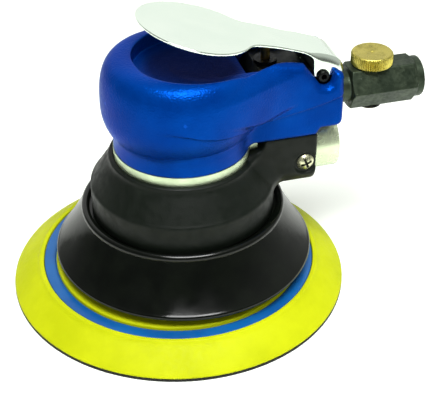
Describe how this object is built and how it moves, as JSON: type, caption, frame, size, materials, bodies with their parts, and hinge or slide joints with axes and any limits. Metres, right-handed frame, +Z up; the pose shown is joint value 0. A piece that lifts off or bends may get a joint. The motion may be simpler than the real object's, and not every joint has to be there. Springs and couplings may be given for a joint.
{
  "type": "orbital sander",
  "caption": "Palm-grip air-powered random orbital sander: round pad, cone shroud, blue grip, steel throttle lever, air regulator and dust outlet tube.",
  "frame": {"origin": "where the motor's axis meets the sanding face", "axes": "+Z up along the motor's axis; +X along the handle, towards the air inlet; +Y to the left of the handle seen from above with +X ahead"},
  "size_m": [0.1855, 0.15, 0.1305],
  "materials": {
    "blue_grip": "fine moulded grain",
    "bare_aluminium": "machined satin",
    "black_steel": "black oxide",
    "polished_lever": "polished",
    "brass": "turned",
    "seal_rubber": "smooth",
    "spring_steel": "drawn wire",
    "dark_plated_steel": "dark plated",
    "collar_black": "matte moulded",
    "skirt_black": "glossy moulded",
    "plated_tube": "satin anodised",
    "zinc_screw": "zinc plated",
    "inner_steel": "machined",
    "bearing_steel": "ground",
    "vane_resin": "phenolic",
    "blue_plate": "smooth",
    "yellow_foam": "skinned foam",
    "hook_black": "hook pile"
  },
  "bodies": {
    "housing": {"grip_cover": "blue_grip", "motor_housing": "bare_aluminium", "lever_pin": "black_steel", "valve_seat": "brass", "valve_guide": "brass", "stem_oring": "seal_rubber", "valve_spring": "spring_steel", "valve_plug": "brass", "regulator_body": "dark_plated_steel", "inlet_screen": "brass", "inlet_oring": "seal_rubber", "shroud_collar": "collar_black", "shroud_skirt": "skirt_black", "exhaust_tube": "plated_tube", "tube_screw": "zinc_screw", "ejector_nozzle": "inner_steel", "lock_ring": "inner_steel", "lower_endplate": "inner_steel", "upper_endplate": "inner_steel", "motor_cylinder": "inner_steel", "alignment_pin": "inner_steel", "upper_bearing_outer_race": "bearing_steel", "lower_bearing_outer_race": "bearing_steel"},
    "lever": {"throttle_lever": "polished_lever"},
    "valve": {"valve_stem": "brass", "valve_seal": "seal_rubber"},
    "regulator": {"regulator_valve": "brass", "regulator_orings": "seal_rubber", "regulator_clip": "black_steel"},
    "rotor": {"rotor": "inner_steel", "vanes": "vane_resin", "rotor_key": "inner_steel", "crankshaft": "inner_steel", "upper_bearing_inner_race": "bearing_steel", "upper_bearing_balls": "bearing_steel", "lower_bearing_inner_race": "bearing_steel", "lower_bearing_balls": "bearing_steel", "spindle_bearing_outer_race": "bearing_steel", "spindle_retaining_ring": "spring_steel"},
    "pad": {"spindle_bearing_inner_race": "bearing_steel", "spindle_bearing_balls": "bearing_steel", "spindle": "inner_steel", "spindle_screw": "inner_steel", "pad_washer": "vane_resin", "pad_hub": "inner_steel", "backing_plate": "blue_plate", "pad_core": "yellow_foam", "pad_foam": "yellow_foam", "hook_face": "hook_black"}
  },
  "joints": [
    {"name": "lever_pivot", "type": "hinge", "parent": "housing", "child": "lever", "pos_m": [0.059, 0, 0.099], "axis": [0, -1, 0], "range_deg": [0, 9], "stiffness_Nm_per_rad": 1, "springref_deg": -11.46},
    {"name": "valve_slide", "type": "slide", "parent": "housing", "child": "valve", "axis": [0, 0, -1], "range_m": [0, 0.0039], "deforming": ["valve_spring"]},
    {"name": "regulator_turn", "type": "hinge", "parent": "housing", "child": "regulator", "pos_m": [0.0857, 0, 0.0858], "axis": [0, 0, 1], "range_deg": [0, 90]},
    {"name": "rotor_spin", "type": "hinge", "parent": "housing", "child": "rotor", "pos_m": [0, 0, 0.078], "axis": [0, 0, 1], "continuous": true},
    {"name": "pad_spin", "type": "hinge", "parent": "rotor", "child": "pad", "pos_m": [-0.0025, 0, 0.0365], "axis": [0, 0, 1], "continuous": true}
  ],
  "couplings": [
    {"joint": "valve_slide", "follows": "lever_pivot", "m_per_rad": 0.0245}
  ]
}
